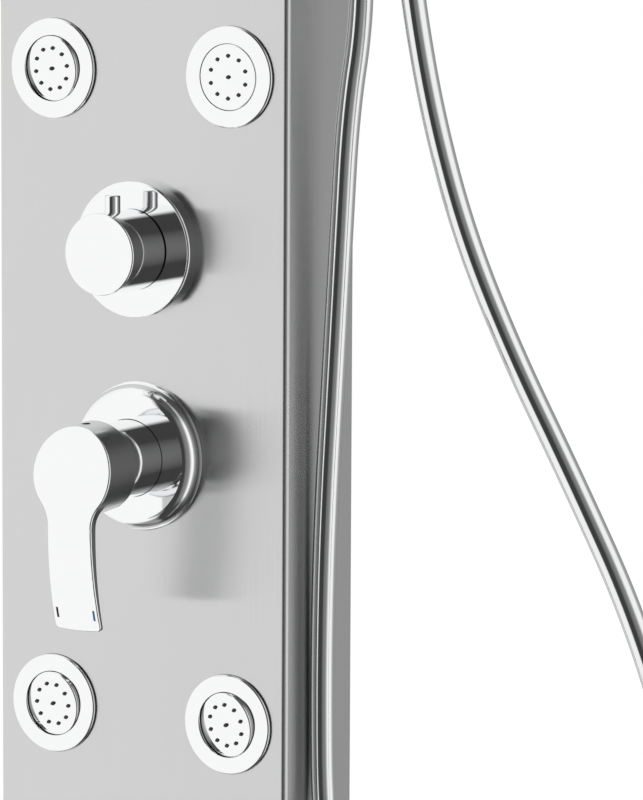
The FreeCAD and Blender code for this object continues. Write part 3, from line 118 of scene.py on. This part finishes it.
def tube(name, points, radius, sides=40):
    """Mesh tube along a line, with u round it and v along it in metres."""
    rings, lengths = [], [0.0]
    turns = [2 * math.pi * k / sides for k in range(sides)]
    side = (points[1] - points[0]).orthogonal().normalized()
    for i, point in enumerate(points):
        ahead = (points[min(i + 1, len(points) - 1)] - points[max(i - 1, 0)]).normalized()
        side = (side - ahead * side.dot(ahead)).normalized()
        across = ahead.cross(side)
        rings.append([point + (side * math.cos(a) + across * math.sin(a)) * radius for a in turns])
        if i:
            lengths.append(lengths[-1] + (point - points[i - 1]).length)
    verts = [v for ring in rings for v in ring]
    faces, uvs = [], []
    for i in range(len(points) - 1):
        lower, upper = i * sides, (i + 1) * sides
        for k in range(sides):
            after = (k + 1) % sides
            faces.append((lower + k, lower + after, upper + after, upper + k))
            uvs += [(k / sides, lengths[i]), ((k + 1) / sides, lengths[i]),
                    ((k + 1) / sides, lengths[i + 1]), (k / sides, lengths[i + 1])]
    last = (len(points) - 1) * sides
    for cap in (tuple(range(sides))[::-1], tuple(range(last, last + sides))):
        faces.append(cap)
        uvs += [(0.5, lengths[0 if cap[0] < sides else -1])] * sides
    mesh = bpy.data.meshes.new(name)
    mesh.from_pydata(verts, [], faces)
    layer = mesh.uv_layers.new(name="along")
    layer.data.foreach_set("uv", [c for uv in uvs for c in uv])
    mesh.polygons.foreach_set("use_smooth", [len(f) == 4 for f in faces])
    mesh.validate()
    piece = bpy.data.objects.new(name, mesh)
    bpy.context.scene.collection.objects.link(piece)
    return piece


def make_hose():
    points = route_line("hose_route", HOSE_ROUTE)
    hose = tube("hand_shower_hose", points, HOSE_RADIUS)
    hose.data.materials.append(hose_sleeve())
    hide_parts("shower_hose")
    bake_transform(hose)


# ---- materials ---------------------------------------------------------------------
class Finish:
    """A material under construction: a Principled shader and the nodes that feed it."""

    def __init__(self, name, color, metallic=0.0, roughness=0.5, **sockets):
        self.material = bpy.data.materials.new(name)
        self.material.use_nodes = True
        self.tree = self.material.node_tree
        self.shader = self.tree.nodes["Principled BSDF"]
        self.shader.inputs["Base Color"].default_value = (*color, 1)
        self.shader.inputs["Metallic"].default_value = metallic
        self.shader.inputs["Roughness"].default_value = roughness
        for key, value in sockets.items():
            self.shader.inputs[key.replace("_", " ")].default_value = value
        self.color = color

    def node(self, kind, **settings):
        made = self.tree.nodes.new("ShaderNode" + kind)
        for key, value in settings.items():
            setattr(made, key, value)
        return made

    def link(self, output, socket):
        self.tree.links.new(output, socket)

    def place(self, scale=(1, 1, 1), source="Object"):
        """Coordinates of the surface in metres, each axis scaled."""
        mapping = self.node("Mapping")
        mapping.inputs["Scale"].default_value = scale
        self.link(self.node("TexCoord").outputs[source], mapping.inputs["Vector"])
        return mapping.outputs["Vector"]

    def noise(self, scale, detail=3.0, stretch=(1, 1, 1), rough=0.5, source="Object"):
        texture = self.node("TexNoise")
        texture.inputs["Scale"].default_value = scale
        texture.inputs["Detail"].default_value = detail
        texture.inputs["Roughness"].default_value = rough
        self.link(self.place(stretch, source), texture.inputs["Vector"])
        return texture.outputs["Fac"]

    def spread(self, value, low, high, socket=None, at=(0.3, 0.7)):
        """Maps a pattern's usual range onto low to high."""
        ranged = self.node("MapRange")
        for key, number in zip(("From Min", "From Max", "To Min", "To Max"), (*at, low, high)):
            ranged.inputs[key].default_value = number
        self.link(value, ranged.inputs["Value"])
        if socket:
            self.link(ranged.outputs["Result"], self.shader.inputs[socket])
        return ranged.outputs["Result"]

    def tint(self, value, darker, lighter, at=(0.3, 0.7)):
        """Base colour that varies with a pattern between two shares of the plain colour."""
        ramp = self.node("ValToRGB")
        for stop, place, share in zip(ramp.color_ramp.elements, at, (darker, lighter)):
            stop.position = place
            stop.color = (*(min(1.0, c * share) for c in self.color), 1)
        self.link(value, ramp.inputs["Fac"])
        self.link(ramp.outputs["Color"], self.shader.inputs["Base Color"])

    def math(self, operation, first, second):
        """A sum on two values, each a number or another node's output."""
        node = self.node("Math", operation=operation)
        for value, socket in zip((first, second), node.inputs):
            if isinstance(value, (int, float)):
                socket.default_value = value
            else:
                self.link(value, socket)
        return node.outputs["Value"]

    def levels(self, share, stops):
        """Grey level by bearing, from a share of the full turn."""
        ramp = self.node("ValToRGB")
        elements = ramp.color_ramp.elements
        while len(elements) < len(stops):
            elements.new(0.5)
        for element, (degrees, level) in zip(elements, stops):
            element.position = (degrees + 180) / 360
            element.color = (level, level, level, 1)
        self.link(share, ramp.inputs["Fac"])
        return ramp.outputs["Color"]

    def bump(self, value, height, strength=1.0):
        bump = self.node("Bump")
        bump.inputs["Distance"].default_value = height
        bump.inputs["Strength"].default_value = strength
        self.link(value, bump.inputs["Height"])
        self.link(bump.outputs["Normal"], self.shader.inputs["Normal"])


def brushed_steel():
    """Sheet brushed up and down: reflections smear sideways and stay crisp along the grain."""
    finish = Finish("brushed_steel", (0.665, 0.67, 0.665), 1.0, 0.18, Anisotropic=0.93)
    tangent = finish.node("Tangent", direction_type="RADIAL", axis="Z")
    finish.link(tangent.outputs["Tangent"], finish.shader.inputs["Tangent"])
    grain = finish.noise(900, 4, (1, 1, 0.012), 0.6)
    finish.spread(grain, 0.165, 0.195, "Roughness")
    finish.tint(finish.noise(7, 2, (1, 1, 0.35)), 0.985, 1.01)
    finish.bump(grain, 2e-6, 0.4)
    return finish.material


def chrome():
    """Plated and polished, with the faint unevenness of handling."""
    tone, roughness = 0.93, 0.05
    finish = Finish("chrome", (tone, tone * 1.003, tone * 1.008), 1.0, roughness)
    finish.spread(finish.noise(60, 3), roughness * 0.8, roughness * 1.4, "Roughness")
    finish.bump(finish.noise(22, 2), 2e-6, 0.3)
    return finish.material


def hose_sleeve():
    """Smooth silver sleeve of the shower hose with fine drawn lines along it."""
    finish = Finish("hose_sleeve", (0.86, 0.865, 0.87), 1.0, 0.09)
    lines = finish.noise(18, 3, (3, 0.5, 1), 0.6, "UV")
    finish.spread(lines, 0.07, 0.12, "Roughness")
    finish.bump(lines, 5e-6, 0.3)
    return finish.material


def plain_metal(name, color, roughness, grain=400.0):
    """Turned or cast metal with a fine grain and slight staining."""
    finish = Finish(name, color, 1.0, roughness)
    pattern = finish.noise(grain, 4, rough=0.6)
    finish.spread(pattern, roughness * 0.8, roughness * 1.25, "Roughness")
    finish.tint(finish.noise(35, 3), 0.86, 1.05)
    finish.bump(pattern, 2e-5, 0.4)
    return finish.material


def moulded(name, color, roughness):
    """Moulded plastic or rubber with a fine skin."""
    finish = Finish(name, color, 0.0, roughness)
    pattern = finish.noise(900)
    finish.spread(pattern, roughness * 0.85, min(1.0, roughness * 1.2), "Roughness")
    finish.tint(finish.noise(40, 2), 0.93, 1.05)
    finish.bump(pattern, 2e-5, 0.35)
    return finish.material


def enamel_marks():
    """Red hot mark left of the column's middle, blue cold mark right of it."""
    red, blue = (0.06, 0.002, 0.006), (0.03, 0.16, 0.34)
    finish = Finish("marks", red, 0.0, 0.5, Specular_IOR_Level=0.15)
    split = finish.node("SeparateXYZ")
    finish.link(finish.node("TexCoord").outputs["Object"], split.inputs["Vector"])
    ramp = finish.node("ValToRGB")
    for element, color in zip(ramp.color_ramp.elements, (red, blue)):
        element.color = (*color, 1)
    finish.link(finish.math("GREATER_THAN", split.outputs["X"], 0.0), ramp.inputs["Fac"])
    finish.link(ramp.outputs["Color"], finish.shader.inputs["Base Color"])
    return finish.material


def per_jet(prefix):
    return [prefix + jet for jet in JETS]


def dress_nodes():
    """Gives every node of the frame its material."""
    looks = [
        (brushed_steel(), ["front_panel", "end_caps"]),
        (chrome(),
         ["diverter_plate", "diverter_knob", "diverter_pin", "mixer_plate", "mixer_sleeve", "mixer_lever",
          "head_arm", "arm_flange", "ball_collar", "rain_head", "outlet_elbow", "hose_nut", "hose_cone",
          "handset_holder", "handset_body"] + per_jet("jet_flange_") + per_jet("jet_disc_")),
        (plain_metal("brass", (0.72, 0.55, 0.27), 0.28),
         ["diverter_body", "diverter_cartridge", "diverter_stem", "mixer_body", "cartridge_nut",
          "cartridge_spindle", "arm_elbow", "head_ball", "supply_nuts", "backing_nuts"]),
        (plain_metal("copper", (0.80, 0.43, 0.28), 0.30), ["mixer_pipe"]),
        (plain_metal("galvanised", (0.62, 0.64, 0.65), 0.45, 120), ["wall_brackets"]),
        (plain_metal("screw_steel", (0.58, 0.59, 0.60), 0.3), ["panel_screws", "lever_screw"]),
        (plain_metal("braid", (0.60, 0.61, 0.62), 0.35, 700), ["supply_hoses"]),
        (moulded("nozzle_rubber", (0.045, 0.045, 0.048), 0.55),
         ["jet_gaskets", "rain_face", "handset_face"] + per_jet("jet_nozzles_")),
        (moulded("acetal", (0.80, 0.80, 0.77), 0.42),
         ["ball_seat", "cartridge_turret", "mixer_cartridge", "hose_tees", "jet_housings"]
         + per_jet("jet_seat_")),
        (moulded("inner_hose", (0.07, 0.075, 0.08), 0.5), ["jet_hoses", "feed_hoses"]),
        (enamel_marks(), ["lever_marks"]),
    ]
    for material, names in looks:
        for name in names:
            for place in nodes[name].material_slots:
                place.material = material


# ---- studio ---------------------------------------------------------------------------
def stage_object(name, mesh, material):
    mesh.materials.append(material)
    made = bpy.data.objects.new(name, mesh)
    bpy.context.scene.collection.objects.link(made)
    return made


# how bright the tent is by bearing in degrees: 0 is the front, 90 the column's right side
TENT_LEVELS = {
    "low": [(-180, 0.15), (-72, 0.12), (-52, 0.35), (-24, 0.30), (-8, 0.05), (60, 0.06),
            (86, 0.30), (135, 0.45), (165, 0.20)],
    "middle": [(-180, 0.30), (-150, 0.12), (-128, 0.35), (-108, 0.90), (-60, 1.0), (-17, 1.0), (-8, 0.05),
               (24, 0.05), (36, 0.18), (62, 0.28), (80, 1.0), (118, 1.0), (134, 0.42), (162, 0.32)],
    "high": [(-180, 0.30), (-135, 0.50), (-110, 1.0), (-34, 1.0), (-16, 0.10), (60, 0.10),
             (95, 0.70), (140, 0.80), (170, 0.30)]}
TENT_BANDS = (("middle", -62, -52), ("high", 38, 52))     # elevations where the next level takes over


def studio_tent():
    """Light tent that only reflections see: a wide soft light at the left front, dark flags beside it."""
    profile = [(TENT_POLE, TENT_LOW), (TENT_RADIUS, TENT_LOW), (TENT_RADIUS, TENT_SHOULDER)]
    profile += [(TENT_RADIUS * math.cos(a), TENT_SHOULDER + TENT_RISE * math.sin(a))
                for a in (math.pi / 2 * k / TENT_ARCS for k in range(1, TENT_ARCS))]
    profile.append((TENT_POLE, TENT_SHOULDER + TENT_RISE))
    turns = [2 * math.pi * k / TENT_SIDES for k in range(TENT_SIDES)]
    verts = [(r * math.cos(a), r * math.sin(a), z) for r, z in profile for a in turns]
    faces = []
    for row in range(len(profile) - 1):
        lower, upper = row * TENT_SIDES, (row + 1) * TENT_SIDES
        for k in range(TENT_SIDES):
            after = (k + 1) % TENT_SIDES
            faces.append((lower + k, lower + after, upper + after, upper + k))
    mesh = bpy.data.meshes.new("studio_tent")
    mesh.from_pydata(verts, [], faces)

    finish = Finish("studio_tent", (1, 1, 1))
    split = finish.node("SeparateXYZ")
    finish.link(finish.node("TexCoord").outputs["Object"], split.inputs["Vector"])
    bearing = finish.math("ARCTAN2", split.outputs["X"], finish.math("MULTIPLY", split.outputs["Y"], -1))
    share = finish.spread(bearing, 0.0, 1.0, at=(-math.pi, math.pi))
    across = finish.node("VectorMath", operation="LENGTH")
    finish.link(finish.place((1, 1, 0)), across.inputs[0])
    height = finish.math("SUBTRACT", split.outputs["Z"], TENT_CENTRE)
    elevation = finish.math("ARCTAN2", height, across.outputs["Value"])
    level = finish.levels(share, TENT_LEVELS["low"])
    for band, start, end in TENT_BANDS:
        rise = finish.spread(elevation, 0.0, 1.0, at=(math.radians(start), math.radians(end)))
        mix = finish.node("Mix", data_type="RGBA")
        finish.link(rise, mix.inputs["Factor"])
        finish.link(level, mix.inputs["A"])
        finish.link(finish.levels(share, TENT_LEVELS[band]), mix.inputs["B"])
        level = mix.outputs["Result"]
    glow = finish.node("Emission")
    finish.link(level, glow.inputs["Color"])
    finish.link(glow.outputs["Emission"], finish.tree.nodes["Material Output"].inputs["Surface"])
    tent = stage_object("studio_tent", mesh, finish.material)
    tent.visible_camera = False
    tent.visible_shadow = False
    tent.visible_diffuse = False


def studio_floor():
    """Pale floor that keeps the shadow near the object and runs out to the white ground."""
    mesh = bpy.data.meshes.new("floor")
    corners = [(x * FLOOR_REACH, y * FLOOR_REACH, FLOOR_Z) for x, y in ((-1, -1), (1, -1), (1, 1), (-1, 1))]
    mesh.from_pydata(corners, [], [(0, 1, 2, 3)])
    finish = Finish("floor", (0.86, 0.86, 0.855), 0.0, 0.7)
    finish.spread(finish.noise(30, 3), 0.6, 0.8, "Roughness")
    distance = finish.node("VectorMath", operation="LENGTH")
    finish.link(finish.place((1, 1, 0)), distance.inputs[0])
    fade = finish.spread(distance.outputs["Value"], 0.0, 1.0, at=FLOOR_FADE)
    ray = finish.node("LightPath")
    seen = finish.math("MAXIMUM", ray.outputs["Is Camera Ray"], ray.outputs["Is Glossy Ray"])
    white = finish.node("Emission")
    mix = finish.node("MixShader")
    finish.link(finish.math("MULTIPLY", fade, seen), mix.inputs["Fac"])
    finish.link(finish.shader.outputs["BSDF"], mix.inputs[1])
    finish.link(white.outputs["Emission"], mix.inputs[2])
    finish.link(mix.outputs["Shader"], finish.tree.nodes["Material Output"].inputs["Surface"])
    stage_object("floor", mesh, finish.material)


def make_world():
    """White to the camera and in reflections, a plain level for the rest."""
    world = bpy.data.worlds.new("world")
    world.use_nodes = True
    tree = world.node_tree
    background = tree.nodes["Background"]
    background.inputs["Color"].default_value = (1, 1, 1, 1)
    ray = tree.nodes.new("ShaderNodeLightPath")
    seen = ray.outputs["Is Camera Ray"]
    for kind in ("Is Glossy Ray", "Is Transmission Ray"):
        larger = tree.nodes.new("ShaderNodeMath")
        larger.operation = "MAXIMUM"
        tree.links.new(seen, larger.inputs[0])
        tree.links.new(ray.outputs[kind], larger.inputs[1])
        seen = larger.outputs["Value"]
    level = tree.nodes.new("ShaderNodeMapRange")
    level.inputs["To Min"].default_value = ROOM_LIGHT
    level.inputs["To Max"].default_value = 1.0
    tree.links.new(seen, level.inputs["Value"])
    tree.links.new(level.outputs["Result"], background.inputs["Strength"])
    bpy.context.scene.world = world


make_camera()
make_hose()
dress_nodes()
studio_tent()
studio_floor()
make_world()
bpy.context.scene.view_settings.view_transform = "Standard"

bpy.context.view_layer.update()
